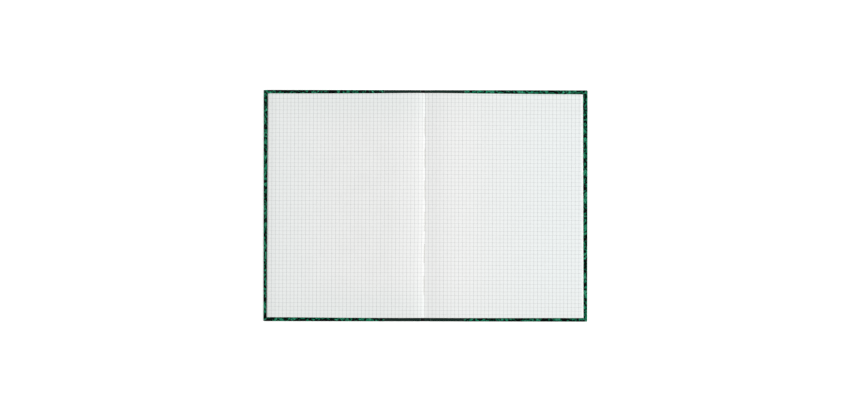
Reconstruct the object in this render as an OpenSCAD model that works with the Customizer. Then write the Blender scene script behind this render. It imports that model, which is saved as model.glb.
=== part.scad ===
// A sewn writing book with hard covers, quarter bound in cloth, lying open flat at its middle.
// X runs across the open book, Y from the tail to the head and Z up. The origin is under the middle
// of the spine, on the surface that the book lies on. The front cover is on the left.

/* [Leaves] */
// Width of a leaf, from its fold to the fore-edge
leaf_w = 207; // [90:0.5:300]
// Height of a leaf
leaf_h = 296; // [160:0.5:420]
// Thickness of one leaf
leaf_t = 0.105; // [0.08:0.005:0.15]
// Folded sections in the block, an odd number, so that the book opens in the fold of one
sections = 5; // [3:2:9]
// Sheets folded into each section, at two leaves a sheet
section_sheets = 5; // [3:1:8]
// How far the open leaves swell above their flat thickness, beside the gutter
swell = 5; // [0.2:0.1:8]
// How far from the gutter the leaves bend up out of their fold
bend_run = 22; // [6:1:30]
// How far from the gutter the swelling dies away
swell_run = 110; // [50:5:200]

/* [Sewing] */
// Thickness of the thread
thread_d = 0.5; // [0.3:0.05:0.8]
// Stitches that show in the middle fold
stitches = 6; // [2:1:10]
// Length of one stitch
stitch_l = 24; // [8:1:30]
// Leaf left unsewn at the head and at the tail
unsewn = 22; // [10:1:40]

/* [Boards] */
// Thickness of the boards
board_t = 2; // [1:0.1:4]
// Overhang of the cover past the leaves, at the head and at the tail
square_y = 5; // [2:0.25:8]
// Overhang of the cover past the fore-edge of the closed book
square_x = 4.5; // [2:0.25:8]
// Radius of the corners at the fore-edge
corner_r = 1.2; // [0.8:0.1:4]

/* [Spine] */
// Width of the groove between the spine strip and each board
groove_w = 4; // [3:0.5:8]
// How far the cloth is pressed up into the groove
groove_rise = 1; // [0.3:0.1:1.2]
// Thickness of the card strip in the spine
strip_t = 0.8; // [0.4:0.1:1.2]
// Width of the gauze that is glued to each board
flange_w = 22; // [10:1:40]
// Thickness of the gauze
gauze_t = 0.2; // [0.1:0.05:0.3]
// Gauze and lining stop this far short of the head and the tail of the leaves
gauze_short = 20; // [16:1:40]
// Thickness of the paper lining on the back
lining_t = 0.2; // [0.1:0.05:0.3]

/* [Covering] */
// Thickness of the cloth and of the marbled paper, glued down
cover_t = 0.3; // [0.2:0.05:0.5]
// Width of the cloth on each board
cloth_w = 46; // [20:1:80]
// Width of cloth and paper turned in over the edges of the boards
turn_in = 15; // [8:1:18]
// Open line between the turned-in edges at a mitred corner
mitre_gap = 0.4; // [0.2:0.1:1]
// Thickness of an endpaper
end_t = 0.15; // [0.1:0.05:0.25]

/* [Hidden] */
$fn = 48;

// Thickness of the closed block, which is also the width of its back, and of each open half
block_t = 2 * sections * section_sheets * leaf_t;
half_t = block_t / 2;

// Places across the open book, from the middle of the spine
strip_x = block_t / 2;
board_x = strip_x + groove_w;
board_w = leaf_w + square_x - groove_w - cover_t;
cover_x = board_x + board_w + cover_t;
cloth_x = board_x + cloth_w;
flange_x = board_x + flange_w;

// Lengths along the spine
cover_h = leaf_h + 2 * square_y;
board_h = cover_h - 2 * cover_t;
gauze_h = leaf_h - 2 * gauze_short;

// Levels above the surface that the book lies on
board_z = cover_t;
inside_z = board_z + board_t;
turned_z = inside_z + cover_t;
fly_z = turned_z + end_t;
leaf_z = fly_z + end_t;
flat_z = leaf_z + half_t;

// Cuts run past the faces that they open by this much
past = board_t;

// The back of the block folds up into an elliptical arch as long as the closed back is wide
arch_x = 0.3 * block_t;
arch_rise = sqrt(2 * pow(block_t / PI, 2) - pow(arch_x, 2));
arch_steps = 12 * sections;
// The round folds of the sections stand out of the back by a fifth of a section's thickness
fold_bulge = 0.2 * block_t / sections;

// The gutter lies on the sheets of the middle section, folded over the top of the arch
gutter_z = leaf_z + arch_rise + section_sheets * leaf_t;
gutter_dip = flat_z - gutter_z;
top_x = leaf_w - pow(swell + gutter_dip, 2) / (4 * bend_run);

// Carries an outline in the X-Z plane along the spine
module along_spine(length) {
    rotate([90, 0, 0]) linear_extrude(length, center = true) children();
}

// Puts the right-hand half of the book on the left too
module on_side(side) {
    if (side < 0) mirror([1, 0, 0]) children();
    else children();
}

function reversed(points) = [for (i = [len(points) - 1:-1:0]) points[i]];
function mirrored(points) = [for (p = reversed(points)) [-p[0], p[1]]];

// Height of the open page at a distance from the gutter: a long swelling less a short fold
function page_z(x) = flat_z + swell * exp(-x / swell_run) * (1 - x / top_x)
                     - (swell + gutter_dip) * exp(-x / bend_run) * (1 - x / top_x);

// Distances from the gutter that crowd together in the fold
function page_steps(n) = [for (i = [0:n]) top_x * pow(i / n, 2.4)];

// A point of the arch at an angle, a depth inside the back
function arch_point(angle, depth) = [(arch_x - depth) * cos(angle),
                                     leaf_z + (arch_rise - depth) * sin(angle)];
// The arch from its right foot over the top to its left foot
function arch(depth) = [for (i = [0:arch_steps]) arch_point(180 * i / arch_steps, depth)];
// The same with one round fold for each section
function folded_back() = [for (i = [0:arch_steps]) let (a = 180 * i / arch_steps)
                          arch_point(a, fold_bulge * abs(sin(sections * a)))];

// The fore-edge leans in, because the lower leaves start further out on the arch
function fore_edge(n) = [for (i = [0:n]) let (u = i / n)
                         [leaf_w + arch_x * cos(90 * u) - (leaf_w - top_x) * u,
                          leaf_z + half_t * u]];

module page_block() {
    right = concat(fore_edge(10), [for (x = reversed(page_steps(44))) if (x < top_x) [x, page_z(x)]]);
    left = [for (p = mirrored(right)) if (p[0] < 0) p];
    color("ivory") along_spine(leaf_h) polygon(concat(right, left, reversed(folded_back())));
}

// One stitch is a straight thread with round ends, lying in the fold
module stitch() {
    translate([0, -stitch_l / 2, 0]) {
        rotate([-90, 0, 0]) cylinder(h = stitch_l, d = thread_d, $fn = 16);
        sphere(d = thread_d, $fn = 16);
        translate([0, stitch_l, 0]) sphere(d = thread_d, $fn = 16);
    }
}

module sewing_thread() {
    pitch = (leaf_h - 2 * unsewn) / stitches;
    fold_slope = (swell + gutter_dip) / bend_run;
    seat_z = gutter_z + thread_d / 2 * sqrt(1 + pow(fold_slope, 2)) + 0.02;
    color("white") for (i = [0:stitches - 1])
        translate([0, (i - (stitches - 1) / 2) * pitch, seat_z]) stitch();
}

module spine_mull() {
    outer = arch(fold_bulge);
    inner = arch(fold_bulge + gauze_t);
    top = concat([[flange_x, inside_z + gauze_t], [outer[0][0], inside_z + gauze_t]], outer);
    under = concat([[flange_x, inside_z], [inner[0][0], inside_z]], inner);
    left_end = [[-outer[0][0], inside_z + gauze_t], [-flange_x, inside_z + gauze_t],
                [-flange_x, inside_z], [-inner[0][0], inside_z]];
    color("lightgoldenrodyellow") along_spine(gauze_h) polygon(concat(top, left_end, reversed(under)));
}

module spine_lining() {
    depth = fold_bulge + gauze_t;
    color("tan") along_spine(gauze_h)
        polygon(concat(arch(depth), reversed(arch(depth + lining_t))));
}

// What the pasted-down sheet lies on, grown by a thickness: board, gauze and turned-in edges
module under_paste(grow) {
    far = cover_x + past;
    wide = cover_h + 2 * past;
    window_x = cover_x - turn_in - grow;
    window_y = cover_h - 2 * turn_in - 2 * grow;
    translate([arch_x, -wide / 2, board_z]) cube([far - arch_x, wide, inside_z - board_z + grow]);
    translate([0, -(gauze_h / 2 + grow), board_z])
        cube([flange_x + grow, gauze_h + 2 * grow, inside_z + gauze_t - board_z + grow]);
    difference() {
        translate([arch_x, -wide / 2, board_z])
            cube([far - arch_x, wide, turned_z - board_z + grow]);
        translate([arch_x - past, -window_y / 2, 0])
            cube([window_x - arch_x + past, window_y, 2 * leaf_z]);
    }
}

// One folded sheet: the lower half is pasted down, the upper half is the flyleaf
module endpaper() {
    fold_w = end_t;
    difference() {
        intersection() {
            translate([arch_x, -leaf_h / 2, inside_z]) cube([leaf_w, leaf_h, leaf_z - inside_z]);
            under_paste(end_t);
        }
        under_paste(0);
    }
    translate([arch_x, -leaf_h / 2, fly_z]) cube([leaf_w, leaf_h, end_t]);
    translate([arch_x, -leaf_h / 2, turned_z]) cube([fold_w, leaf_h, leaf_z - turned_z]);
}

module front_endpaper() { color("whitesmoke") on_side(-1) endpaper(); }
module back_endpaper() { color("whitesmoke") on_side(1) endpaper(); }

// A panel from x0 to x1, with round corners at its far edge
module panel(x0, x1, height, radius) {
    translate([x0, -height / 2]) square([x1 - radius - x0, height]);
    translate([x0, radius - height / 2]) square([x1 - x0, height - 2 * radius]);
    for (end = [-1, 1]) translate([x1 - radius, end * (height / 2 - radius)]) circle(radius);
}

module board() {
    translate([0, 0, board_z]) linear_extrude(board_t)
        panel(board_x, cover_x - cover_t, board_h, corner_r - cover_t);
}

module front_board() { color("darkgray") on_side(-1) board(); }
module back_board() { color("darkgray") on_side(1) board(); }

module spine_inlay() {
    color("silver") translate([-strip_x, -board_h / 2, board_z]) cube([2 * strip_x, board_h, strip_t]);
}

// Marbled paper round the head, the tail and the fore-edge of a board
module cover_paper() {
    inner_x = cover_x - turn_in;
    inner_h = cover_h - 2 * turn_in;
    difference() {
        linear_extrude(turned_z) panel(cloth_x, cover_x, cover_h, corner_r);
        translate([0, 0, board_z]) linear_extrude(board_t)
            panel(cloth_x - past, cover_x - cover_t, board_h, corner_r - cover_t);
        translate([cloth_x - past, -inner_h / 2, inside_z])
            cube([inner_x - cloth_x + past, inner_h, 2 * cover_t]);
        for (end = [-1, 1]) translate([cover_x - cover_t, end * (cover_h / 2 - cover_t), inside_z])
            rotate([0, 0, end * 45]) translate([-2 * turn_in, -mitre_gap / 2, 0])
                cube([2 * turn_in - cover_t, mitre_gap, 2 * cover_t]);
    }
}

module front_cover_paper() { color("darkgreen") on_side(-1) cover_paper(); }
module back_cover_paper() { color("darkgreen") on_side(1) cover_paper(); }

// Height of the underside of the cloth: flat, with one smooth ridge pressed up in each groove
function groove_z(x) = groove_rise * (1 - cos(360 * (x - strip_x) / groove_w)) / 2;
function groove_line(lift) = [for (i = [0:16]) let (x = board_x - groove_w * i / 16)
                              [x, groove_z(x) + lift]];

module spine_cloth() {
    under = concat([[cloth_x, 0]], groove_line(0));
    over = concat([[cloth_x, cover_t]], groove_line(cover_t));
    // The turned-in layer goes over the board, down into the groove and over the strip
    strip_z = board_z + strip_t;
    groove_top = groove_rise + 2 * cover_t;
    turned_under = concat([[cloth_x, inside_z], [board_x, inside_z]], groove_line(cover_t),
                          [[strip_x, strip_z]]);
    turned_over = [[cloth_x, turned_z], [board_x - cover_t, turned_z], [board_x - cover_t, groove_top],
                   [strip_x + cover_t, groove_top], [strip_x, strip_z + cover_t]];
    turn_y = cover_h / 2 - turn_in;
    color("darkslategray") {
        along_spine(board_h) polygon(concat(under, mirrored(under), reversed(mirrored(over)), reversed(over)));
        for (end = [-1, 1]) {
            translate([0, end * (turn_y + board_h / 2) / 2, 0]) along_spine(board_h / 2 - turn_y)
                polygon(concat(turned_under, mirrored(turned_under),
                               reversed(mirrored(turned_over)), reversed(turned_over)));
            translate([0, end * (cover_h - cover_t) / 2, 0]) along_spine(cover_t)
                polygon(concat(under, mirrored(under),
                               reversed(mirrored(turned_over)), reversed(turned_over)));
        }
    }
}

page_block();
sewing_thread();
spine_mull();
spine_lining();
front_endpaper();
back_endpaper();
front_board();
back_board();
spine_inlay();
spine_cloth();
front_cover_paper();
back_cover_paper();
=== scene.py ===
"""An open squared notebook with marbled hard covers and a cloth spine, in the order in which it is bound."""

import bpy
import numpy as np
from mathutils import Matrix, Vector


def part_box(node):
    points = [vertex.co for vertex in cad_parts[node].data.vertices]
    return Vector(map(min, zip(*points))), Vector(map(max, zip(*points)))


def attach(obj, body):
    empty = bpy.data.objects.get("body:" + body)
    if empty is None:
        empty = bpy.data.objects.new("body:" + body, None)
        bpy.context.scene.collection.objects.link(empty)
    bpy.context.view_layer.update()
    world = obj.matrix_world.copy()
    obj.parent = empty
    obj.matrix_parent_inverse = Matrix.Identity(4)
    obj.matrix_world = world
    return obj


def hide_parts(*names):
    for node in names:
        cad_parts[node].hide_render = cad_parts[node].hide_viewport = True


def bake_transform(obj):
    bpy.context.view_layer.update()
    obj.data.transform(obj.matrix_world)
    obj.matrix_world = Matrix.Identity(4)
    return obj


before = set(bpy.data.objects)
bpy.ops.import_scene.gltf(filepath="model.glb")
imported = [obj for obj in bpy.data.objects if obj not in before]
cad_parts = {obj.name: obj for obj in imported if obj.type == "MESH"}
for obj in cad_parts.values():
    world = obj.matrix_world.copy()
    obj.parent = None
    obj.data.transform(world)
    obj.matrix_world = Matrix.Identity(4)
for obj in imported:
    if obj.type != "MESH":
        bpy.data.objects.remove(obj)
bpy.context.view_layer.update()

# Boards and spine strip: two grey millboards and a strip of card, cut square from the sheet.
# They are pulped fibre pressed flat, and nothing of them shows but a trace in the joints.
# The construction model's own solids are exact here, so they only get their finish.
mm = 0.001


def new_material(name):
    """An empty material with its tree and its Principled shader."""
    made = bpy.data.materials.new(name)
    made.use_nodes = True
    return made, made.node_tree, made.node_tree.nodes["Principled BSDF"]


def node(tree, kind, sockets=None, **settings):
    """A node with its settings, whose sockets are linked, or set where a plain value is given."""
    made = tree.nodes.new(kind)
    for key, value in settings.items():
        setattr(made, key, value)
    for key, value in (sockets or {}).items():
        if isinstance(value, bpy.types.NodeSocket):
            tree.links.new(value, made.inputs[key])
        else:
            made.inputs[key].default_value = value
    return made


def sums(tree, operation, *values, clamp=False):
    """The output of one Math node."""
    made = node(tree, "ShaderNodeMath", dict(enumerate(values)), operation=operation, use_clamp=clamp)
    return made.outputs[0]


def spread(tree, value, low, high, to_low=0.0, to_high=1.0):
    """A smooth step of a value from one range to another."""
    sockets = {"Value": value, "From Min": low, "From Max": high, "To Min": to_low, "To Max": to_high}
    made = node(tree, "ShaderNodeMapRange", sockets, interpolation_type="SMOOTHSTEP")
    return made.outputs["Result"]


def vectors(tree, operation, first, second):
    """The output of one Vector Math node. Where it scales, the second value is one number."""
    socket = "Scale" if operation == "SCALE" else 1
    return node(tree, "ShaderNodeVectorMath", {0: first, socket: second}, operation=operation).outputs[0]


def noise(tree, where, scale, detail, **sockets):
    """The outputs of a noise texture."""
    sockets = {"Vector": where, "Scale": scale, "Detail": detail, **sockets}
    return node(tree, "ShaderNodeTexNoise", sockets).outputs


def mixed(tree, share, first, second):
    """The colour between two colours."""
    made = tree.nodes.new("ShaderNodeMix")
    made.data_type = "RGBA"
    for socket, value in zip((made.inputs[0], made.inputs[6], made.inputs[7]), (share, first, second)):
        if isinstance(value, bpy.types.NodeSocket):
            tree.links.new(value, socket)
        else:
            socket.default_value = value
    return made.outputs[2]


def colour(red, green, blue):
    """A display colour, 0 to 255, as the linear colour that a shader reads."""
    values = np.array([red, green, blue]) / 255
    linear = np.where(values <= 0.04045, values / 12.92, ((values + 0.055) / 1.055) ** 2.4)
    return (*linear.tolist(), 1.0)


def new_group(name, inputs, outputs):
    """A shader node group with named sockets: its tree, and the sockets of its input and output nodes."""
    tree = bpy.data.node_groups.new(name, "ShaderNodeTree")
    for label, kind, value in inputs:
        socket = tree.interface.new_socket(label, in_out="INPUT", socket_type=kind)
        if value is not None:
            socket.default_value = value
    for label, kind in outputs:
        tree.interface.new_socket(label, in_out="OUTPUT", socket_type=kind)
    return tree, tree.nodes.new("NodeGroupInput").outputs, tree.nodes.new("NodeGroupOutput").inputs


def fibre_group():
    """Pressed fibres: noise drawn out along two crossed directions over a fine even noise."""
    tree, given, result = new_group(
        "Fibres", [("Vector", "NodeSocketVector", None), ("Fibre length", "NodeSocketFloat", mm)],
        [("Tone", "NodeSocketFloat"), ("Height", "NodeSocketFloat")])
    size = sums(tree, "DIVIDE", 1.0, given["Fibre length"])
    scaled = vectors(tree, "SCALE", given["Vector"], size)
    layers = []
    for stretch in ((0.25, 1.6, 1.0), (1.6, 0.25, 1.0)):
        drawn = vectors(tree, "MULTIPLY", scaled, stretch)
        layers.append(noise(tree, drawn, 1.0, 3.0, Distortion=0.6)["Fac"])
    both = sums(tree, "MAXIMUM", *layers)
    fine = noise(tree, scaled, 5.0, 2.0)["Fac"]
    tree.links.new(spread(tree, both, 0.42, 0.72), result["Tone"])
    tree.links.new(sums(tree, "MULTIPLY_ADD", fine, 0.5, both), result["Height"])
    return tree


fibres = fibre_group()


def add_fibres(tree, where, length):
    """Places the fibre group on a coordinate."""
    made = node(tree, "ShaderNodeGroup", node_tree=fibres)
    tree.links.new(where, made.inputs["Vector"])
    made.inputs["Fibre length"].default_value = length
    return made.outputs["Tone"], made.outputs["Height"]


def bump(tree, shader, height, depth, strength=0.6):
    """Feeds a height to the shader's normal, at a depth in metres."""
    made = node(tree, "ShaderNodeBump", {"Height": height, "Strength": strength, "Distance": depth})
    tree.links.new(made.outputs["Normal"], shader.inputs["Normal"])


def board_material(name, dark, light, length):
    """Pulped board or strong plain paper: two tones of the same fibres."""
    made, tree, shader = new_material(name)
    where = node(tree, "ShaderNodeTexCoord").outputs["Object"]
    tone, height = add_fibres(tree, where, length)
    tree.links.new(mixed(tree, tone, dark, light), shader.inputs["Base Color"])
    tree.links.new(spread(tree, tone, 0.0, 1.0, 0.95, 0.8), shader.inputs["Roughness"])
    bump(tree, shader, height, 0.05 * mm)
    return made


def finish_node(name, material):
    """Gives a solid of the construction model its finish."""
    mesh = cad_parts[name].data
    mesh.materials.clear()
    mesh.materials.append(material)


grey_board = board_material("grey_board", colour(112, 108, 100), colour(158, 153, 144), 0.9 * mm)
for board in ("front_board", "back_board", "spine_inlay"):
    finish_node(board, grey_board)
board_lo, board_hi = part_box("back_board")
strip_lo, strip_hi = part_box("spine_inlay")

# Spine cloth: one strip of dark green book cloth, glued round the card strip and on to both boards,
# turned in at the head and the tail, and pressed up with a bone folder into the two grooves.
# It is made as two halves that meet on the strip, because each half bends in its own groove.
cloth_outer = 0.2 * mm
cloth_sheet = 0.1 * mm
lap_over = 3 * mm
# The marbled paper laps over the cloth at these places, and the left lap lies a little further out
lap_edge = {-1: 54.4 * mm, 1: 51.2 * mm}
groove_rise = 1.0 * mm
# From the strip into the left groove the turned-in cloth is painted near black, as painted shade, and in the
# right groove only a little
groove_painted_shade = {-1: 1.0, 1: 0.15}
dark_from, dark_to, dark_fade = 0.9 * mm, 5.7 * mm, 1.0 * mm
# Over the edge of each board and on the middle of the spine it has pale lines of painted highlight, and round
# the head and tail it is worn pale
ridge_highlight, ridge_run = 0.9, 0.5 * mm
middle_highlight, middle_run = 0.3, 0.6 * mm
end_rub = 0.1
# The bone folder's mark beside each board
press_depth, press_from, press_run = 0.25 * mm, 0.9 * mm, 0.7 * mm
turn_in = 15 * mm
edge_round = 0.42 * mm
flat_border = 4 * mm
sides = {-1: "front", 1: "back"}


def smooth(value, low, high):
    """A smooth step from 0 at low to 1 at high, for arrays."""
    t = np.clip((value - low) / (high - low), 0, 1)
    return t * t * (3 - 2 * t)


def lengths(line):
    """Distance along a line of points."""
    return np.concatenate([[0], np.cumsum(np.linalg.norm(np.diff(line, axis=0), axis=1))])


def diagonal_cross(points, quads):
    """Each four-sided face's normal, as the cross product of its diagonals."""
    a, b, c, d = (points[quads[:, k]] for k in range(4))
    return np.cross(c - a, d - b)


def shell(name, grids, thickness, material, centre=None, crease=40.0, join=2e-7):
    """A thin closed body from surface grids. Each grid is (points, uv, wear) over two parameters, where wear
    may be left out. A grid faces away from the centre, where one is given. Corners that coincide are joined,
    each corner is moved against its normal by the thickness to make the inner side, and rims close the
    edges."""
    points, uvs, worn, quads, start = [], [], [], [], 0
    for grid, uv, *wear_and_painted_light in grids:
        rows, columns = grid.shape[:2]
        index = np.arange(rows * columns).reshape(rows, columns) + start
        quad = np.stack([index[:-1, :-1], index[1:, :-1], index[1:, 1:], index[:-1, 1:]], -1).reshape(-1, 4)
        flat = grid.reshape(-1, 3)
        if centre is not None:
            out = flat[quad - start].mean(1) - centre
            if (diagonal_cross(flat, quad - start) * out).sum() < 0:
                quad = quad[:, ::-1]
        points.append(flat)
        uvs.append(uv.reshape(-1, 2))
        worn.append(wear_and_painted_light[0].ravel() if wear_and_painted_light else np.zeros(rows * columns))
        quads.append(quad)
        start += rows * columns
    points, uvs, worn, quads = (np.concatenate(part) for part in (points, uvs, worn, quads))
    _, first, joined = np.unique(np.round(points / join).astype(np.int64), axis=0,
                                 return_index=True, return_inverse=True)
    joined = joined.ravel()
    corners, faces = points[first], joined[quads]
    repeated = (faces == np.roll(faces, 1, axis=1)).sum(1)
    quads, faces = quads[repeated < 2], faces[repeated < 2]
    normal = diagonal_cross(corners, faces)
    normals = np.zeros_like(corners)
    for k in range(4):
        np.add.at(normals, faces[:, k], normal)
    normals /= np.maximum(np.linalg.norm(normals, axis=1, keepdims=True), 1e-20)
    count = len(corners)
    begin, end = faces.ravel(), np.roll(faces, -1, axis=1).ravel()
    open_edge = ~np.isin(begin * count + end, end * count + begin) & (begin != end)
    a, b = begin[open_edge], end[open_edge]
    rim = np.stack([b, a, a + count, b + count], -1)
    rim_uv = np.stack([np.roll(quads, -1, axis=1).ravel()[open_edge], quads.ravel()[open_edge]], -1)
    all_faces = np.concatenate([faces, faces[:, ::-1] + count, rim])
    all_uv = np.concatenate([quads, quads[:, ::-1], rim_uv[:, [0, 1, 1, 0]]])
    mesh = bpy.data.meshes.new(name)
    whole = [[v for k, v in enumerate(face) if v != face[k - 1]] for face in all_faces.tolist()]
    kept = all_faces != np.roll(all_faces, 1, axis=1)
    mesh.from_pydata(np.concatenate([corners, corners - normals * thickness]).tolist(), [], whole)
    layer = mesh.uv_layers.new(name="Sheet")
    layer.data.foreach_set("uv", uvs[all_uv[kept]].astype(np.float32).ravel())
    mask = mesh.attributes.new("WearAndPaintedLight", "FLOAT", "POINT")
    mask.data.foreach_set("value", np.tile(worn[first], 2).astype(np.float32))
    mesh.polygons.foreach_set("use_smooth", np.ones(len(mesh.polygons), bool))
    mesh.materials.append(material)
    mesh.update()
    mesh.set_sharp_from_angle(angle=np.radians(crease))
    made = bpy.data.objects.new(name, mesh)
    bpy.context.collection.objects.link(made)
    return made


def weave_group():
    """Plain weave: on every other square the thread along Y is on top, and on the rest the thread along X.
    A thread is round across its width and rises in the middle of its square."""
    tree, given, result = new_group(
        "Weave", [("Vector", "NodeSocketVector", None), ("Pitch", "NodeSocketFloat", 0.4 * mm),
                  ("Thread width", "NodeSocketFloat", 0.9)],
        [("Height", "NodeSocketFloat"), ("Thread", "NodeSocketFloat"), ("Slub", "NodeSocketFloat")])
    wobble = noise(tree, given["Vector"], 0.12 / mm, 2.0)["Color"]
    moved = vectors(tree, "ADD", given["Vector"], vectors(tree, "SCALE", wobble, 0.35 * mm))
    size = sums(tree, "DIVIDE", 1.0, given["Pitch"])
    scaled = vectors(tree, "SCALE", moved, size)
    parts = node(tree, "ShaderNodeSeparateXYZ", {0: scaled}).outputs
    waves, cells = [], []
    for k in range(2):
        inside = sums(tree, "FRACT", parts[k])
        waves.append(sums(tree, "SINE", sums(tree, "MULTIPLY", inside, np.pi)))
        cells.append(sums(tree, "FLOOR", parts[k]))
    parity = sums(tree, "PINGPONG", sums(tree, "ADD", *cells), 1.0)
    edge = sums(tree, "SUBTRACT", 1.0, given["Thread width"])
    tops = []
    for across, along in (waves, waves[::-1]):
        rise = sums(tree, "MULTIPLY_ADD", along, 0.45, 0.55)
        tops.append(sums(tree, "MULTIPLY", sums(tree, "SUBTRACT", across, edge, clamp=True), rise))
    under = sums(tree, "MULTIPLY", sums(tree, "MAXIMUM", *tops), 0.4)
    chosen = sums(tree, "ADD", sums(tree, "MULTIPLY", tops[0], parity),
                  sums(tree, "MULTIPLY", tops[1], sums(tree, "SUBTRACT", 1.0, parity)))
    height = sums(tree, "MAXIMUM", chosen, under)
    slubs = []
    for stretch in ((0.06, 1.0, 1.0), (1.0, 0.06, 1.0)):
        slubs.append(noise(tree, vectors(tree, "MULTIPLY", scaled, stretch), 1.0, 2.0)["Fac"])
    tree.links.new(height, result["Height"])
    tree.links.new(spread(tree, height, 0.02, 0.2), result["Thread"])
    tree.links.new(spread(tree, sums(tree, "MAXIMUM", *slubs), 0.5, 0.8), result["Slub"])
    return tree


weave = weave_group()


def sheet_map(tree):
    """The piece's own map, in metres over its sheet laid flat."""
    return node(tree, "ShaderNodeUVMap", uv_map="Sheet").outputs["UV"]


def woven(tree, pitch, width):
    """Places the weave group on the piece's own map."""
    where = sheet_map(tree)
    made = node(tree, "ShaderNodeGroup", node_tree=weave)
    tree.links.new(where, made.inputs["Vector"])
    made.inputs["Pitch"].default_value = pitch
    made.inputs["Thread width"].default_value = width
    return made.outputs["Height"], made.outputs["Thread"], made.outputs["Slub"], where


def cloth_material():
    """Very dark green dyed cotton, matt, a little lighter on the crowns of its threads. Where Wear is above 0
    the
    cloth is pale: painted highlight over the board edges and the spine's middle, and rubbing at the head and
    the tail. Where it is below 0 the cloth is near black: painted shade in the groove."""
    made, tree, shader = new_material("book_cloth")
    height, thread, slub, where = woven(tree, 0.42 * mm, 0.95)
    ground = mixed(tree, thread, colour(4, 14, 12), colour(14, 38, 31))
    worn = mixed(tree, sums(tree, "MULTIPLY", slub, 0.55), ground, colour(30, 58, 50))
    shade = spread(tree, noise(tree, where, 0.05 / mm, 3.0)["Fac"], 0.3, 0.7)
    shaded = mixed(tree, sums(tree, "MULTIPLY", shade, 0.5), worn, colour(8, 34, 27))
    painted_light_and_wear = node(tree, "ShaderNodeAttribute", attribute_name="WearAndPaintedLight").outputs["Fac"]
    # Below 0 the cloth turns near black: painted shade in the groove
    shaded = mixed(tree, spread(tree, painted_light_and_wear, 0.0, -1.0), shaded, colour(0, 5, 3))
    highlight_and_wear_share = sums(tree, "MULTIPLY", painted_light_and_wear, spread(tree, slub, 0.0, 0.7, 0.35, 0.9))
    # Pale colour: painted highlight over the board edges and the spine's middle, and rubbing at the head and
    # tail
    tree.links.new(mixed(tree, highlight_and_wear_share, shaded, colour(92, 116, 106)), shader.inputs["Base Color"])
    tree.links.new(spread(tree, height, 0.0, 1.0, 0.92, 0.66), shader.inputs["Roughness"])
    shader.inputs["Specular IOR Level"].default_value = 0.1
    shader.inputs["Sheen Weight"].default_value = 0.06
    shader.inputs["Sheen Roughness"].default_value = 0.5
    bump(tree, shader, height, 0.09 * mm, 0.8)
    return made


def groove(x):
    """How far the cloth's outside is pressed up: one cosine ridge between the strip and the board."""
    inside = np.clip((np.abs(x) - strip_hi.x) / (board_lo.x - strip_hi.x), 0, 1)
    return groove_rise * (1 - np.cos(2 * np.pi * inside)) / 2


def wrap_profile(round_, flap, flat_from, corner=7, flat=5, inner=8):
    """Half of the way round one edge: the flat outside, a quarter turn up the edge, another on to the inside,
    and the turned-in flap. It gives each point's inset from the edge, and its height as a share of the
    rounding: above the outside in the first half, low, and below the inside in the second, high."""
    turn = np.linspace(0, np.pi / 2, corner)
    flat_in = np.linspace(round_, flat_from, flat)[::-1][:-1]
    flap_in = round_ + (flap - round_) * np.linspace(0, 1, inner + 1)[1:] ** 1.6
    inset = np.concatenate([flat_in, round_ * (1 - np.sin(turn)), round_ * (1 - np.cos(turn)), flap_in])
    low = np.concatenate([np.zeros(flat - 1), 1 - np.cos(turn), np.full(corner + inner, np.nan)])
    high = np.concatenate([np.full(flat - 1 + corner, np.nan), 1 - np.sin(turn), np.zeros(inner)])
    return inset, low, high


def wrap_height(low, high, out_z, in_z, round_):
    """Height along that profile, between an outside and an inside level."""
    return np.where(np.isnan(low), in_z - np.nan_to_num(high) * round_, out_z + np.nan_to_num(low) * round_)


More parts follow.
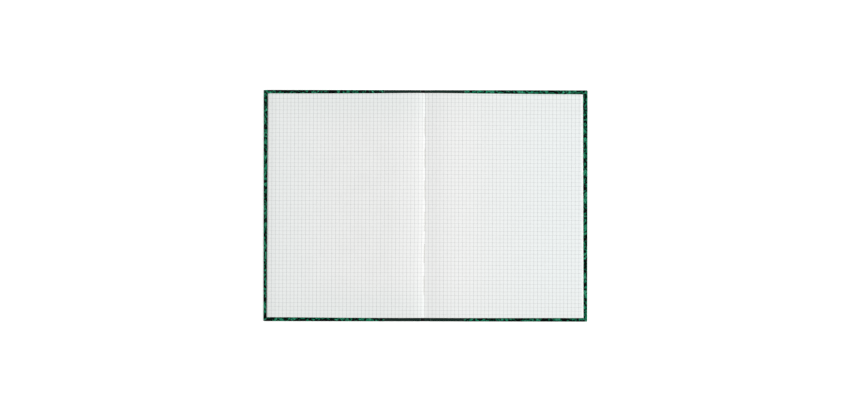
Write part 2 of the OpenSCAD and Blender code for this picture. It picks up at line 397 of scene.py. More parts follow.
def cloth_half(side):
    """The cloth over half of the strip, one groove and one board. Across the book it follows the strip, the
    groove and the board. Along it the outside runs from tail to head, turns round each edge and lies on the
    inside. Its Wear is painted highlight over the board's edge and the spine's middle and rubbing round the
    head and the tail, less painted shade on the flap from the strip into the groove."""
    far = lap_edge[side] + lap_over
    past_edge = board_lo.x + 1.2 * mm
    x = np.concatenate([np.linspace(0, strip_hi.x, 9)[:-1], np.linspace(strip_hi.x, board_lo.x, 25)[:-1],
                        np.linspace(board_lo.x, past_edge, 7)[:-1], np.linspace(past_edge, far, 16)])
    out_z = strip_lo.z - cloth_outer + groove(x)
    pressed = np.maximum(strip_hi.z + cloth_outer, out_z + 2 * cloth_outer)
    pressed = pressed - press_depth * np.exp(-((x - board_lo.x + press_from) / press_run) ** 2)
    rise = smooth(x, board_lo.x - 0.5 * mm, board_lo.x + 0.1 * mm)
    in_z = pressed + (board_hi.z + cloth_outer - pressed) * rise
    # The rounding takes a little less than half of the height, and the profile is in shares of it
    round_ = np.minimum(edge_round, (in_z - out_z) * 0.45)[:, None]
    inset, low, high = wrap_profile(1.0, turn_in / edge_round, flat_border / edge_round)
    inset = np.where(inset > 1.0, np.maximum(inset * edge_round, round_), inset * round_)
    y = board_hi.y + cloth_outer - inset
    z = wrap_height(low[None, :], high[None, :], out_z[:, None], in_z[:, None], round_)
    middle = np.linspace(-y[:, :1], y[:, :1], 60, axis=1)[:, 1:-1, 0]
    y = np.concatenate([-y[:, ::-1], middle, y], axis=1)
    z = np.concatenate([z[:, ::-1], np.repeat(out_z[:, None], middle.shape[1], axis=1), z], axis=1)
    grid = np.stack([np.repeat(side * x[:, None], y.shape[1], axis=1), y, z], -1)
    # Pale lines of painted highlight over the board's edge and the spine's middle
    painted_light_and_wear = ridge_highlight * np.exp(-((x - board_lo.x) / ridge_run) ** 2)
    painted_light_and_wear = painted_light_and_wear + middle_highlight * np.exp(-(x / middle_run) ** 2)
    ends = end_rub * smooth(np.abs(y), board_hi.y - 0.4 * mm, board_hi.y + 0.1 * mm)
    # Painted shade on the flap, from the strip into the groove
    dark = smooth(x, dark_from, dark_from + dark_fade) * (1 - smooth(x, dark_to, dark_to + dark_fade))
    flap = np.where(np.isnan(high), 0.0, 1.0)
    flap = np.concatenate([flap[::-1], np.zeros(middle.shape[1]), flap])
    wear_and_painted_light = np.maximum(painted_light_and_wear[:, None], ends) - groove_painted_shade[side] * dark[:, None] * flap
    along = lengths(grid[-1])
    across = side * lengths(np.stack([x, out_z], -1))
    uv = np.stack(np.meshgrid(across, along - along[-1] / 2, indexing="ij"), -1)
    centre = np.array([side * 30 * mm, 0, (board_lo.z + board_hi.z) / 2])
    return shell(f"{sides[side]}_spine_cloth", [(grid, uv, wear_and_painted_light)], cloth_sheet, book_cloth, centre)


book_cloth = cloth_material()
for side in sides:
    half = cloth_half(side)
    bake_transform(half)
    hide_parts("spine_cloth")

# Cover papers: green and black cloud-marbled paper, one sheet on each board, lapped over the edge of
# the cloth and turned in over the head, the fore-edge and the tail. The corners are mitred, and the
# fore-edge flap is pasted down last, over the ends of the other two.
paper_outer = 0.24 * mm
lap_outer = 0.3 * mm
paper_sheet = 0.09 * mm
corner_round = 1.2 * mm
lap_step = 0.8 * mm
mitre_over, mitre_lift = 0.9 * mm, 0.6 * paper_sheet
lift_from, lift_to = 7 * mm, 1 * mm
cut_edge = 0.22 * mm


def marbled_material():
    """Black-green blots on a brighter green that shows as a net of veins between them. The coordinates are
    stirred by noise first, so that blots and veins curl. Broad noise makes places darker or brighter. Where
    Wear is above 0 the sheet's cut edge shows its bare fibres."""
    made, tree, shader = new_material("marbled_paper")
    where = sheet_map(tree)
    stir = noise(tree, where, 0.3 / mm, 3.0)["Color"]
    stirred = vectors(tree, "ADD", where, vectors(tree, "SCALE", stir, 3 * mm))
    area = noise(tree, where, 0.1 / mm, 2.0)["Fac"]
    blot = noise(tree, stirred, 0.38 / mm, 4.0, Roughness=0.5)["Fac"]
    cell = node(tree, "ShaderNodeTexVoronoi", {"Vector": stirred, "Scale": 0.33 / mm}).outputs["Distance"]
    ink = sums(tree, "ADD", sums(tree, "MULTIPLY_ADD", cell, -0.3, blot), sums(tree, "MULTIPLY", area, 0.5))
    black = spread(tree, ink, 0.56, 0.585)
    cloud = noise(tree, stirred, 1.1 / mm, 4.0, Roughness=0.5)["Fac"]
    green = mixed(tree, spread(tree, cloud, 0.42, 0.58), colour(10, 78, 56), colour(34, 152, 111))
    pale = sums(tree, "MULTIPLY", spread(tree, area, 0.52, 0.36), spread(tree, cloud, 0.53, 0.6))
    green = mixed(tree, sums(tree, "MULTIPLY", pale, 0.8), green, colour(92, 182, 146))
    rough = noise(tree, where, 2.2 / mm, 2.0)["Color"]
    nudged = vectors(tree, "ADD", stirred, vectors(tree, "SCALE", rough, 0.7 * mm))
    specks = node(tree, "ShaderNodeTexVoronoi", {"Vector": nudged, "Scale": 1.0 / mm}).outputs["Distance"]
    dotted = sums(tree, "MAXIMUM", black, spread(tree, specks, 0.14, 0.22, 1.0, 0.0))
    inked = mixed(tree, dotted, green, colour(0, 6, 4))
    tone, height = add_fibres(tree, where, 0.5 * mm)
    cut = node(tree, "ShaderNodeAttribute", attribute_name="WearAndPaintedLight").outputs["Fac"]
    bare = sums(tree, "MULTIPLY", cut, spread(tree, tone, 0.0, 1.0, 0.75, 1.0))
    tree.links.new(mixed(tree, bare, inked, colour(176, 190, 180)), shader.inputs["Base Color"])
    tree.links.new(spread(tree, black, 0.0, 1.0, 0.55, 0.42), shader.inputs["Roughness"])
    shader.inputs["Specular IOR Level"].default_value = 0.03
    bump(tree, shader, height, 0.02 * mm, 0.4)
    return made


def cover_paper(side):
    """The paper on one board: the flat outside, and three strips that go round the head, the fore-edge and
    the tail. A strip is a profile round the edge, carried along the outline, whose corner is a quarter circle
    that shrinks to a mitre on the inside."""
    lap = lap_edge[side]
    cloth_end = lap + lap_over

    def lift(x):
        return paper_outer + (lap_outer - paper_outer) * (1 - smooth(x, cloth_end, cloth_end + lap_step))

    inset, low, high = wrap_profile(edge_round, turn_in, flat_border)
    flat_from = inset[0]
    lap_cut = cut_edge / (board_hi.x - lap)
    straight = np.concatenate([[0, lap_cut], np.linspace(0.01, 1, 40)])
    turn = np.linspace(0, np.pi / 4, 4)[1:]
    reach = np.maximum(corner_round, inset)
    radius = corner_round - np.minimum(inset, corner_round)
    edge_x = board_hi.x + paper_outer
    edge_y = board_hi.y + paper_outer
    # Head strip: along the outline to the middle of the corner
    x = np.concatenate([lap + (edge_x - reach - lap)[None, :] * straight[:, None],
                        (edge_x - reach)[None, :] + radius[None, :] * np.sin(turn)[:, None]])
    y_in = np.concatenate([np.repeat(inset[None, :], len(straight), axis=0),
                           (reach[None, :] - radius[None, :] * np.cos(turn)[:, None])])
    off = lift(x)
    y = board_hi.y + off - y_in
    z = wrap_height(low[None, :], high[None, :], board_lo.z - off, board_hi.z + off, edge_round)
    head = np.stack([x, y, z], -1)
    head_cut = np.zeros(x.shape)
    head_cut[0] = 1
    wrap = np.concatenate([[0], np.cumsum(np.hypot(np.diff(inset), np.diff(z[-1])))]) - flat_from
    head_uv = np.stack([x, np.repeat((board_hi.y + wrap)[None, :], len(x), axis=0)], -1)
    # Fore-edge strip: from the middle of one corner to the middle of the other, with the ends of its flap
    # over the mitres, lifted by the sheet below them
    inside = np.isfinite(high).argmax()
    past = mitre_over * smooth(np.arange(len(inset)), inside + 5, inside + 8)
    mitre_cut = cut_edge / board_hi.y
    down = np.concatenate([[1, 1 - mitre_cut], np.linspace(0.985, -0.985, 60), [mitre_cut - 1, -1]])
    half_y = edge_y - reach + past
    bend_x = (edge_x - reach)[None, :] + radius[None, :] * np.cos(turn)[:, None]
    bend_y = half_y[None, :] + radius[None, :] * np.sin(turn)[:, None]
    x = np.concatenate([bend_x[::-1], np.repeat((edge_x - inset)[None, :], len(down), axis=0), bend_x])
    y = np.concatenate([bend_y[::-1], half_y[None, :] * down[:, None], -bend_y])
    over = smooth(np.abs(y), (edge_y - reach - lift_from)[None, :], (edge_y - reach - lift_to)[None, :])
    out_z, in_z = board_lo.z - paper_outer, board_hi.z + paper_outer
    z = wrap_height(low[None, :], high[None, :], out_z, in_z, edge_round)
    z = z + mitre_lift * over * (past / mitre_over)[None, :]
    fore_cut = np.zeros(x.shape)
    fore_cut[:len(turn) + 1] = fore_cut[-1 - len(turn):] = past / mitre_over
    fore = np.stack([x, y, np.broadcast_to(z, x.shape)], -1)
    fore_uv = np.stack([np.repeat((board_hi.x + wrap)[None, :], len(x), axis=0), y], -1)
    # Flat outside, whose border is the first line of each strip
    xs, ys = head[:len(straight), 0, 0], fore[len(turn):-len(turn), 0, 1]
    flat_x, flat_y = np.meshgrid(xs, ys, indexing="ij")
    flat = np.stack([flat_x, flat_y, board_lo.z - lift(flat_x)], -1)
    flat_cut = np.repeat(head_cut[:len(straight), :1], len(ys), axis=1)
    tail, tail_uv = head * (1, -1, 1), head_uv * (1, -1)
    grids = [(flat, flat[..., :2], flat_cut), (head, head_uv, head_cut), (fore, fore_uv, fore_cut),
             (tail, tail_uv, head_cut)]
    grids = [(grid * (side, 1, 1), uv * (side, 1), cut) for grid, uv, cut in grids]
    centre = np.array([side * (board_lo.x + board_hi.x) / 2, 0, (board_lo.z + board_hi.z) / 2])
    return shell(f"{sides[side]}_cover_paper", grids, paper_sheet, marbled_paper, centre)


marbled_paper = marbled_material()
for side in sides:
    covering = cover_paper(side)
    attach(covering, f"{sides[side]}_cover")
    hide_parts(f"{sides[side]}_cover_paper")

# Leaves: five sections of five folded sheets of white writing paper, trimmed together. They lie open
# at the fold of the middle section, so their backs stand up in an arch. Each sheet is one long thin
# strip: a leaf, a round fold on the arch, and a leaf. Low leaves start at the arch's feet.
leaf_lo, leaf_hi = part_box("page_block")
sections, section_sheets = 5, 5
side_leaves = sections * section_sheets
leaf_pitch = strip_hi.x / side_leaves
paper_thick = 0.085 * mm
arch_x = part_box("back_endpaper")[0].x
arch_rise = np.sqrt(2 * (2 * strip_hi.x / np.pi) ** 2 - arch_x ** 2)
leaf_w = leaf_hi.x - arch_x
swell, swell_run, bend_run = 4.95 * mm, 110 * mm, 22 * mm
# Upper leaves end a little short, because they have farther to go over the swelling
swell_loss = 0.37 * mm
# At the fore-edge the leaves turn down a little, more on the left
edge_curl = {-1: 0.7 * mm, 1: 0.1 * mm}
curl_from, curl_past = 9 * mm, 3 * mm
# Close to the fold the left leaves drop more sharply than that, and the right ones less
fold_run = {-1: 5 * mm, 1: 6 * mm}
fold_share = {-1: 0.27, 1: -0.2}
# A slow wave and a ripple in the open pages
wave_rise, wave_x, wave_y = 0.1 * mm, 310 * mm, 420 * mm
ripple_rise, ripple_y, ripple_from = 0.07 * mm, 96 * mm, 90 * mm
# The lean of the fold, and of the leaves beside it
fold_lean, tail_lean, all_lean = 0.25 * mm, 0.95 * mm, 0.46 * mm
left_reach, right_reach = 18 * mm, 4 * mm
# The cuts out of square, and the play of each sheet when the block was trimmed
fore_skew, left_short, right_short = 0.6 * mm, 0.18 * mm, 0.2 * mm
end_skew, end_step = 0.4 * mm, 0.26 * mm
head_bow, bow_run = 0.66 * mm, 58 * mm
trim_play, slip_play = 0.06 * mm, 0.04 * mm
dice = np.random.default_rng(7)


def fold_start(leaf, depth):
    """Where a leaf leaves the arch, that many sheets above it, with its outward direction."""
    angle = np.pi * (leaf + 0.5) / (2 * side_leaves)
    out = np.array([np.cos(angle), np.sin(angle)])
    return np.array([arch_x, arch_rise]) * out + out * depth * leaf_pitch + (0, leaf_lo.z), out


def leaf_line(leaf, depth, side, steps, trim):
    """Centre line of a leaf from the arch to its fore-edge: its flat level and a long swelling, less a bend
    that brings it down to its fold. The bend is a slow one and a share of a quick one, by powers of e. Its
    points lie closer together near the fold."""
    level = (leaf + 0.5) / side_leaves
    (start_x, start_z), _ = fold_start(leaf, depth)
    end_x = leaf_w + arch_x * np.cos(level * np.pi / 2) - swell_loss * level ** 2 + trim
    x = start_x + (end_x - start_x) * np.linspace(0, 1, steps) ** 2.4
    fade = 1 - (x - start_x) / (end_x - start_x)
    top = leaf_lo.z + strip_hi.x * level + swell * level * np.exp(-x / swell_run) * fade
    drop = top[0] - start_z
    share = fold_share[side]
    bend = (1 - share) * np.exp(-(x - start_x) / bend_run) + share * np.exp(-(x - start_x) / fold_run[side])
    curl = edge_curl[side] * level * smooth(x, end_x - curl_from, end_x + curl_past)
    return np.stack([x, top - drop * bend * fade - curl], -1)


def fold_arc(first, second, out, steps=8):
    """Half a turn from one point to another, bulging against the outward direction."""
    turn = np.linspace(0, np.pi, steps)[1:-1, None]
    half = (second - first) / 2
    return (first + second) / 2 - half * np.cos(turn) - out * np.linalg.norm(half) * np.sin(turn)


def sheet_line(section, sheet, steps, trim):
    """The whole centre line of a folded sheet, and the level of each of its points in the stack."""
    middle = sections // 2
    low = 2 * section_sheets * min(section, sections - 1 - section) + sheet
    side = -1 if section < middle else 1
    first = leaf_line(low, sheet, side, steps, trim)
    if section == middle:
        left = leaf_line(low, sheet, -1, steps, trim)[::-1] * (-1, 1)
        line = np.concatenate([left, fold_arc(left[-1], first[0], np.array([0, 1])), first])
        return line, np.full(len(line), (low + 0.5) / side_leaves)
    high = low + 2 * (section_sheets - sheet) - 1
    second = leaf_line(high, sheet, side, steps, trim)
    _, out = fold_start((low + high) / 2, sheet)
    line = np.concatenate([first[::-1], fold_arc(first[0], second[0], out), second]) * (side, 1)
    level = (np.interp(np.arange(len(line)), [steps, len(line) - steps], [low, high]) + 0.5) / side_leaves
    return line, level


def leaf_wave(x, y, level):
    """How the leaves lie: a slow wave over the pages, and a ripple along their outer parts. Both die away
    down the stack."""
    wave = np.sin(2 * np.pi * (x / wave_x + 0.12)) * np.cos(2 * np.pi * (y / wave_y - 0.08))
    ripple = np.sin(2 * np.pi * (y / ripple_y + 0.3)) * smooth(np.abs(x), ripple_from, 205 * mm)
    return level ** 1.5 * (wave_rise * wave + ripple_rise * ripple)


def gutter_lean(x, y, level):
    """How far leaves lie to the side. From the head past the middle the fold runs straight, and then it bends
    a little to the left towards the tail. It takes the leaves beside it along, more of them on its left. The
    upper leaves all lie a little to the left."""
    fold = -level ** 2 * (fold_lean + tail_lean * smooth(-y, 25 * mm, 80 * mm))
    reach = np.where(x < 0, left_reach, right_reach)
    return fold * np.exp(-np.abs(x) / reach) - all_lean * smooth(level, 0.0, 0.4)


def fore_trim(x, y):
    """How far the cut at the fore-edge lies out of square: it leans from head to tail."""
    lean = fore_skew * y / leaf_hi.y
    skew = np.where(x < 0, lean - left_short, -lean - right_short)
    return skew * smooth(np.abs(x), 20 * mm, leaf_w)


def end_trim(x, y):
    """How far the cuts at the head and the tail lie out of square towards the fore-edge, and how far the head
    bows out at the fold."""
    skew = -(end_skew * y / leaf_hi.y + end_step * np.sign(x)) * smooth(np.abs(x), 60 * mm, leaf_w)
    return skew + head_bow * np.exp(-(x / bow_run) ** 2) * smooth(y, 0, leaf_hi.y)


def sheet_grid(section, sheet, steps, rows):
    """A folded sheet as a surface: its line, lifted by half its thickness, carried from the tail to the
    head."""
    trim, slip = dice.uniform(-trim_play, trim_play), dice.uniform(-slip_play, slip_play)
    line, level = sheet_line(section, sheet, steps, trim)
    tangent = np.gradient(line, axis=0)
    tangent /= np.linalg.norm(tangent, axis=1, keepdims=True)
    line = line + tangent[:, ::-1] * (-1, 1) * paper_thick / 2
    y = np.linspace(-leaf_hi.y, leaf_hi.y, rows) + slip
    x, y = np.meshgrid(line[:, 0], y, indexing="ij")
    level = level[:, None]
    z = line[:, 1:] + leaf_wave(x, y, level)
    cut_x, cut_y = fore_trim(x, y), end_trim(x, y)
    grid = np.stack([x + cut_x + gutter_lean(x, y, level), y + cut_y, z], -1)
    along = lengths(line)
    uv = np.stack([(along - along[-1] / 2)[:, None] + cut_x, y + cut_y], -1)
    return grid, uv


def needle_holes(tree, across, along):
    """Painted shade in the needle holes: dark spots on the fold line, where the ends of the stitches go
    through:
    one at each side of each stitch's middle, and the stitches repeat along the fold."""
    place = sums(tree, "FRACT", sums(tree, "MULTIPLY_ADD", along, 1 / stitch_gap, 0.5 * stitches))
    from_middle = sums(tree, "ABSOLUTE", sums(tree, "SUBTRACT", place, 0.5))
    off = sums(tree, "MULTIPLY_ADD", from_middle, stitch_gap, -stitch_l / 2)
    distance = sums(tree, "SQRT", sums(tree, "ADD", sums(tree, "MULTIPLY", off, off),
                                       sums(tree, "MULTIPLY", across, across)))
    sewn = sums(tree, "LESS_THAN", sums(tree, "ABSOLUTE", along), thread_hi.y + 0.5 * mm)
    return sums(tree, "MULTIPLY", sewn, spread(tree, distance, hole_inner, hole_outer, 0.9, 0.0))


def by_page(tree, right, left_value, right_value):
    """One value on the left page and another on the right page."""
    return spread(tree, right, 0.0, 1.0, left_value, right_value)


def page_tones(tree, across, along, right, white):
    """The open pages' tones: cool towards the fore-edges, more on the right, lighter beside the fold as
    painted light, more on the right page, and darker at the head, at the tail and at the left fore-edge,
    where it is painted shade."""
    cool = sums(tree, "MAXIMUM", spread(tree, across, 0.0, 200 * mm),
                spread(tree, across, -90 * mm, -200 * mm, 0.0, 0.45))
    white = mixed(tree, cool, white, paper_cool)
    # Painted light beside the fold, most on the right page
    fold_painted_light = sums(tree, "MULTIPLY", spread(tree, across, 90 * mm, 35 * mm),
                 spread(tree, across, -50 * mm, -28 * mm))
    white = mixed(tree, sums(tree, "MULTIPLY", fold_painted_light, by_page(tree, right, 0.7, 1.0)), white, paper_lit)
    ends = spread(tree, sums(tree, "ABSOLUTE", along), 85 * mm, 148 * mm)
    ends = sums(tree, "MULTIPLY", ends, by_page(tree, right, 1.0, 0.5))
    # Darker at the head and the tail, and painted shade at the left fore-edge
    darkened = sums(tree, "MAXIMUM", ends, spread(tree, across, -130 * mm, -205 * mm, 0.0, 0.45))
    return mixed(tree, darkened, white, paper_darkened)


def ruling(tree, across, along, right, sheet):
    """The printed squares: a line is a smooth step of the distance to the nearest half number of squares,
    counted from each page's own place, and its ink varies a little."""
    ink = spread(tree, noise(tree, sheet_map(tree), 0.5 / mm, 2.0)["Fac"], 0.25, 0.6, 0.7, 1.0)
    count_from = by_page(tree, right, rule_left, rule_right)
    lean = sums(tree, "MULTIPLY", along, by_page(tree, right, rule_lean, 0.0))
    upright = sums(tree, "SUBTRACT", sums(tree, "SUBTRACT", across, count_from), lean)
    upright = sums(tree, "DIVIDE", upright, square_x)
    level = sums(tree, "MULTIPLY_ADD", sums(tree, "MULTIPLY", across, right), rule_fall, along)
    level = sums(tree, "DIVIDE", sums(tree, "SUBTRACT", level, rule_along), square_y)
    for squares, strength in ((upright, upright_ink), (level, level_ink)):
        away = sums(tree, "ABSOLUTE", sums(tree, "SUBTRACT", sums(tree, "FRACT", squares), 0.5))
        line = spread(tree, away, line_inner / square_y, line_outer / square_y, 1.0, 0.0)
        dark = sums(tree, "MULTIPLY", sums(tree, "MULTIPLY", line, ink), strength)
        sheet = mixed(tree, dark, sheet, rule_ink)
    return sheet


def fold_shadow_line(tree, across, along):
    """Painted shadow: the grey line beside the fold, on its right, where the right page comes up out of the
    fold, stronger towards the head.
    """
    crease = sums(tree, "MULTIPLY", spread(tree, across, 0.0, 0.3 * mm),
                  spread(tree, across, 1.3 * mm, 0.8 * mm))
    return sums(tree, "MULTIPLY", crease, spread(tree, along, -140 * mm, 60 * mm, 0.16, 0.34))


def paper_material(name, ruled):
    """White writing paper with a faint mottle. Ruled paper has the open pages' tones with their painted light
    and shade, squares, a painted shadow beside the fold and the painted shade of small needle holes in it."""
    made, tree, shader = new_material(name)
    where = sheet_map(tree)
    tone, height = add_fibres(tree, where, 0.7 * mm)
    mottle = spread(tree, noise(tree, where, 0.03 / mm, 3.0)["Fac"], 0.3, 0.7)
    white = mixed(tree, mottle, paper_dark, paper_light)
    if ruled:
        across, along, _ = node(tree, "ShaderNodeSeparateXYZ", {0: where}).outputs
        right = sums(tree, "GREATER_THAN", across, 0.0)
        white = page_tones(tree, across, along, right, white)
    sheet = mixed(tree, sums(tree, "MULTIPLY", tone, 0.3), white, paper_dark)
    if ruled:
        sheet = ruling(tree, across, along, right, sheet)
        # Painted shadow beside the fold, in the ruling's grey
        sheet = mixed(tree, fold_shadow_line(tree, across, along), sheet, rule_ink)
        # Painted shade in the needle holes
        sheet = mixed(tree, needle_holes(tree, across, along), sheet, hole_shade)
    tree.links.new(sheet, shader.inputs["Base Color"])
    tree.links.new(spread(tree, tone, 0.0, 1.0, 0.86, 0.76), shader.inputs["Roughness"])
    shader.inputs["Specular IOR Level"].default_value = 0.3
    bump(tree, shader, height, 0.012 * mm, 0.35)
    return made


thread_lo, thread_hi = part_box("sewing_thread")
thread_d = thread_hi.x - thread_lo.x
stitches, stitch_l = 6, 24 * mm
stitch_gap = (thread_hi.y - thread_lo.y - thread_d - stitch_l) / (stitches - 1)
# The needle holes' sizes, and the colour of their painted shade
hole_inner, hole_outer, hole_shade = 0.15 * mm, 0.5 * mm, colour(70, 66, 62)
paper_dark, paper_light = colour(240, 240.6, 239.4), colour(242, 242.6, 241.4)
# A cool tone, and a lighter one that is painted light beside the fold
paper_cool, paper_lit = colour(238.2, 243.0, 242.8), colour(243.6, 244.1, 243.2)
# A darker tone for the head and the tail, also used as painted shade at the left fore-edge
paper_darkened = colour(235.0, 238.4, 237.0)
# Ruled squares: the print has shrunk a little with the paper, and leans a little against the fold
square_x, square_y = 4.963 * mm, 4.988 * mm
line_inner, line_outer = 0.06 * mm, 0.17 * mm
rule_left, rule_right, rule_along = 3.25 * mm, 2.23 * mm, -0.9 * mm
rule_lean, rule_fall = 0.0026, 0.004
rule_ink, upright_ink, level_ink = colour(127, 133, 136), 0.97, 0.66
plain_paper = paper_material("page_paper", False)
ruled_paper = paper_material("ruled_paper", True)
open_grid = sheet_grid(sections // 2, section_sheets - 1, 130, 81)
open_sheet = shell("open_sheet", [open_grid], paper_thick, ruled_paper)
stack = [sheet_grid(section, sheet, 30, 15) for section in range(sections) for sheet in range(section_sheets)
         if (section, sheet) != (sections // 2, section_sheets - 1)]
leaves = shell("leaves", stack, paper_thick, plain_paper)
for piece in (open_sheet, leaves):
    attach(piece, "text_block")
    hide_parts("page_block")

# Gauze and lining: the backs of the sections are glued to a strip of starched cotton gauze, whose
# flanges go on to both boards, and a strip of brown kraft paper is glued over it in the hollow.
# The lining is the construction model's own solid. The gauze is two halves, bent like the cloth.
kraft = board_material("lining_paper", colour(128, 100, 68), colour(176, 146, 106), 0.6 * mm)
finish_node("spine_lining", kraft)
gauze_lo, gauze_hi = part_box("spine_mull")
gauze_sheet = 0.14 * mm


def gauze_material():
    """Open cream cotton, with the darker glue in its meshes."""
    made, tree, shader = new_material("gauze")
    height, thread, slub, _ = woven(tree, 1.1 * mm, 0.55)
    threads = mixed(tree, slub, colour(212, 204, 180), colour(236, 230, 212))
    tree.links.new(mixed(tree, thread, colour(150, 138, 112), threads), shader.inputs["Base Color"])
    tree.links.new(spread(tree, thread, 0.0, 1.0, 0.5, 0.9), shader.inputs["Roughness"])
    bump(tree, shader, height, 0.15 * mm)
    return made


def gauze_half(side):
    """From the flange's edge over the board and the joint, where it rises a little, to the foot of the arch,
    and up to its top, inside the leaves' folds and over the lining."""
    depth = arch_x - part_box("spine_lining")[1].x - gauze_sheet
    turn = np.linspace(0, np.pi / 2, 16)
    inner = np.stack([(arch_x - depth) * np.cos(turn), leaf_lo.z + (arch_rise - depth) * np.sin(turn)], -1)
    flat = board_hi.z + gauze_sheet
    on_board = np.stack([np.linspace(gauze_hi.x, board_lo.x, 9), np.full(9, flat)], -1)
    in_joint = [[board_lo.x - 1.5 * mm, flat + 0.02 * mm], [inner[0, 0] + 0.5 * mm, flat + 0.05 * mm]]
    line = np.concatenate([on_board, in_joint, inner])
    y = np.linspace(gauze_lo.y, gauze_hi.y, 25)
    grid = np.stack([np.repeat(side * line[:, :1], len(y), axis=1), np.repeat(y[None, :], len(line), axis=0),
                     np.repeat(line[:, 1:], len(y), axis=1)], -1)
    uv = np.stack(np.meshgrid(side * lengths(line), y, indexing="ij"), -1)
    centre = np.array([side * 12 * mm, 0, -50 * mm])
    return shell(f"{sides[side]}_gauze", [(grid, uv)], gauze_sheet, gauze, centre)


gauze = gauze_material()
for side in sides:
    half = gauze_half(side)
    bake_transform(half)
    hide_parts("spine_mull")

# Sewing thread: white three-ply linen, which shows as long stitches in the middle fold. At its ends
# each stitch dives through a needle hole to the back.
ply_r, ply_turn = 0.3 * thread_d, 1.5 * mm
ply_wall = 0.3 * ply_r
stitch_dip = 0.8 * mm


def thread_material():
    """Off-white spun linen with finer fibres along it."""
    made, tree, shader = new_material("linen_thread")
    where = node(tree, "ShaderNodeTexCoord").outputs["Object"]
    tone, height = add_fibres(tree, where, 0.3 * mm)
    tree.links.new(mixed(tree, tone, colour(206, 204, 194), colour(240, 239, 232)),
                   shader.inputs["Base Color"])
    tree.links.new(spread(tree, tone, 0.0, 1.0, 0.85, 0.6), shader.inputs["Roughness"])
    bump(tree, shader, height, 0.03 * mm)
    return made


def ply(middle, phase):
    """One ply of a stitch: a tube round a helix on the thread's own axis, whose ends taper and dip into the
    fold."""
    along, around = np.linspace(-0.5, 0.5, 97), np.linspace(0, 2 * np.pi, 9)
    y = stitch_l * along
    turn = 2 * np.pi * y / ply_turn + phase
    orbit = thread_d / 2 - ply_r
    dip = stitch_dip * smooth(np.abs(along), 0.47, 0.5)
    centre = np.stack([orbit * np.cos(turn), y + middle, (thread_lo.z + thread_hi.z) / 2
                       + orbit * np.sin(turn) - dip], -1)
    centre[:, 0] += gutter_lean(0, centre[:, 1], 1.0)
    ring = np.stack([np.cos(around), 0 * around, np.sin(around)], -1) * ply_r
    taper = 0.3 + 0.7 * smooth(0.5 - np.abs(along), 0, 0.006)
    grid = centre[:, None, :] + ring[None, :, :] * taper[:, None, None]
    return grid, np.stack(np.meshgrid(y, around * ply_r, indexing="ij"), -1)


plies = [ply((k - (stitches - 1) / 2) * stitch_gap, phase) for k in range(stitches)
         for phase in (0, 2 * np.pi / 3, 4 * np.pi / 3)]
thread = shell("sewing_thread", plies, ply_wall, thread_material())
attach(thread, "text_block")
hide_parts("sewing_thread")

# Endpapers: a folded sheet of heavy white paper at each end of the block. One half is pasted down on
# the board, over the turned-in edges and the gauze, which show through as low steps. The other half
# is the flyleaf. They are two pieces here, because the pasted half moves with its cover.
end_sheet = 0.11 * mm
fly_z = leaf_lo.z - end_sheet
# Over a step below it the paper starts to rise this far ahead, and rises over one millimetre
step_ahead, step_run = 2 * mm, 1 * mm
# Finer bands of the grid, at the fore-edge and at the head and the tail
fore_band, end_band = 18 * mm, 26 * mm


def paste_height(x, y, lap):
    """Level of the pasted half: the board, and soft steps up on to the gauze and the turned-in edges."""
    along = np.abs(y)
    under_gauze = 1 - smooth(x, gauze_hi.x, gauze_hi.x + step_run)
    under_gauze = under_gauze * (1 - smooth(along, gauze_hi.y, gauze_hi.y + step_run))
    flap_x, flap_y = board_hi.x - turn_in - step_ahead, board_hi.y - turn_in - step_ahead
    turned = np.maximum(smooth(along, flap_y, flap_y + step_run), smooth(x, flap_x, flap_x + step_run))
    cloth_end = lap + lap_over + step_run
    cloth = 1 - smooth(x, cloth_end, cloth_end + step_run)
    flap = paper_outer + (lap_outer - paper_outer) * cloth
    return board_hi.z + end_sheet + np.maximum(gauze_sheet * under_gauze, flap * turned)


def pasted_half(side):
    """From the board's fore-edge to the joint, across it, and round the fold by half a turn. It lies on the
    steps of the board's inside where its trimmed edges really are."""
    fore, fine, near = arch_x + leaf_w, arch_x + leaf_w - fore_band, gauze_hi.x + 3 * mm
    x = np.concatenate([np.linspace(fore, fine, 20)[:-1], np.linspace(fine, near, 24)[:-1],
                        np.linspace(near, board_lo.x, 16)[:-1], np.linspace(board_lo.x, arch_x, 12)])
    end, fine = leaf_hi.y, leaf_hi.y - end_band
    y = np.concatenate([np.linspace(-end, -fine, 28)[:-1], np.linspace(-fine, fine, 24),
                        np.linspace(fine, end, 28)[1:]])
    grid_x, grid_y = np.meshgrid(x, y, indexing="ij")
    cut_x = grid_x + side * fore_trim(side * grid_x, grid_y)
    cut_y = grid_y + end_trim(side * grid_x, grid_y)
    z = paste_height(cut_x, cut_y, lap_edge[side])
    z = z + (fly_z - 0.16 * mm - z) * smooth(grid_x, board_lo.x, arch_x + 0.5 * mm)
    turn = np.linspace(0, np.pi, 7)[1:]
    radius = (fly_z - z[-1]) / 2
    fold_x = arch_x - np.sin(turn)[:, None] * radius[None, :] * 0.8
    fold_z = z[-1][None, :] + radius[None, :] * (1 - np.cos(turn))[:, None]
    x, y = np.concatenate([cut_x, fold_x]) * side, np.concatenate([cut_y, cut_y[-len(turn):]])
    grid = np.stack([x, y, np.concatenate([z, fold_z])], -1)
    along = lengths(grid[:, grid.shape[1] // 2])
    uv = np.stack([np.broadcast_to(side * (along[-1] - along)[:, None], x.shape), y], -1)
    centre = np.array([side * 100 * mm, 0, -400 * mm])
    return shell(f"{sides[side]}_pastedown", [(grid, uv)], end_sheet, endpaper, centre)


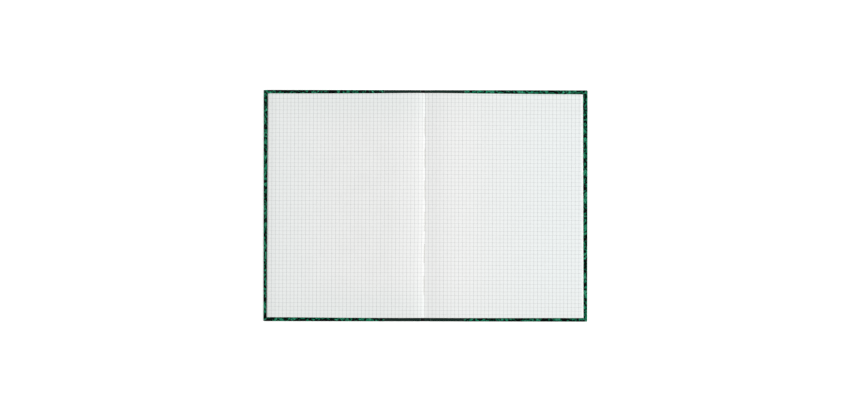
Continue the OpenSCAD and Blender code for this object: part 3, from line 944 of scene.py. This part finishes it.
def flyleaf(side):
    """The free half, flat under the block from its fold to its fore-edge."""
    x = np.linspace(arch_x, arch_x + leaf_w, 40) * side
    x, y = np.meshgrid(x, np.linspace(-leaf_hi.y, leaf_hi.y, 25), indexing="ij")
    z = np.full_like(x, fly_z + end_sheet - 0.01 * mm)
    grid = np.stack([x + fore_trim(x, y), y + end_trim(x, y), z], -1)
    centre = np.array([side * 100 * mm, 0, -400 * mm])
    return shell(f"{sides[side]}_flyleaf", [(grid, np.stack([x, y], -1))], end_sheet, endpaper, centre)


endpaper = paper_material("endpaper", False)
for side in sides:
    pasted = pasted_half(side)
    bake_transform(pasted)
    free = flyleaf(side)
    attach(free, "text_block")
    for piece in (pasted, free):
        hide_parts(f"{sides[side]}_endpaper")

# Camera, floor and light: the book lies on a white floor and is seen from straight above through a
# long lens. The light is soft and plain, and comes a little more from the right and the head.
pixel = 1.3215 * mm
picture_w = 854
# The spine lies this many pixels off the picture's middle, and the book is turned by this angle in it
middle_x, middle_y, picture_turn = 1.5, 0.75, 0.0016
floor_half, floor_drop = 12.0, 0.05 * mm
floor_glow, sky_strength = 0.62, 0.36
camera_data = bpy.data.cameras.new("camera")
camera_data.lens, camera_data.sensor_width = 90, 36
camera_data.clip_end = 50
camera = bpy.data.objects.new("camera", camera_data)
bpy.context.collection.objects.link(camera)
far = pixel * picture_w * camera_data.lens / camera_data.sensor_width
camera.location = (middle_x * pixel, middle_y * pixel, far + board_hi.z)
camera.rotation_euler = (0, 0, picture_turn)
bpy.context.scene.camera = camera

floor_mesh = bpy.data.meshes.new("floor")
floor_mesh.from_pydata([(x * floor_half, y * floor_half, 0) for x, y in ((-1, -1), (1, -1), (1, 1), (-1, 1))],
                       [], [(0, 1, 2, 3)])
floor = bpy.data.objects.new("floor", floor_mesh)
floor.location = (0, 0, -floor_drop)
bpy.context.collection.objects.link(floor)


def floor_material():
    """White, with some light of its own for the camera, so that only the shade beside the book shows."""
    made, tree, shader = new_material("white_floor")
    shader.inputs["Base Color"].default_value = colour(220, 220, 220)
    shader.inputs["Roughness"].default_value = 1.0
    shader.inputs["Specular IOR Level"].default_value = 0.0
    shader.inputs["Emission Color"].default_value = (1, 1, 1, 1)
    seen = node(tree, "ShaderNodeLightPath").outputs["Is Camera Ray"]
    tree.links.new(sums(tree, "MULTIPLY", seen, floor_glow), shader.inputs["Emission Strength"])
    return made


floor_mesh.materials.append(floor_material())

world = bpy.data.worlds.new("world")
bpy.context.scene.world = world
world.use_nodes = True
sky = world.node_tree.nodes["Background"]
sky.inputs["Color"].default_value = (1, 1, 1, 1)
seen = node(world.node_tree, "ShaderNodeLightPath").outputs
direct = sums(world.node_tree, "MAXIMUM", seen["Is Camera Ray"], seen["Is Glossy Ray"])
strength = spread(world.node_tree, direct, 0.0, 1.0, sky_strength, 1.0)
world.node_tree.links.new(strength, sky.inputs["Strength"])


def soft_lamp(name, place, size, power):
    """A square lamp that faces the book."""
    data = bpy.data.lights.new(name, "AREA")
    data.energy, data.size = power, size
    made = bpy.data.objects.new(name, data)
    made.location = place
    made.rotation_mode = "QUATERNION"
    made.rotation_quaternion = (-made.location).to_track_quat("-Z", "Y")
    bpy.context.collection.objects.link(made)


soft_lamp("key", (5.0, 1.0, 5.3), 3.3, 425)
soft_lamp("fill", (-1.6, -1.2, 2.4), 2.0, 10)

bpy.context.scene.view_settings.view_transform = "Standard"
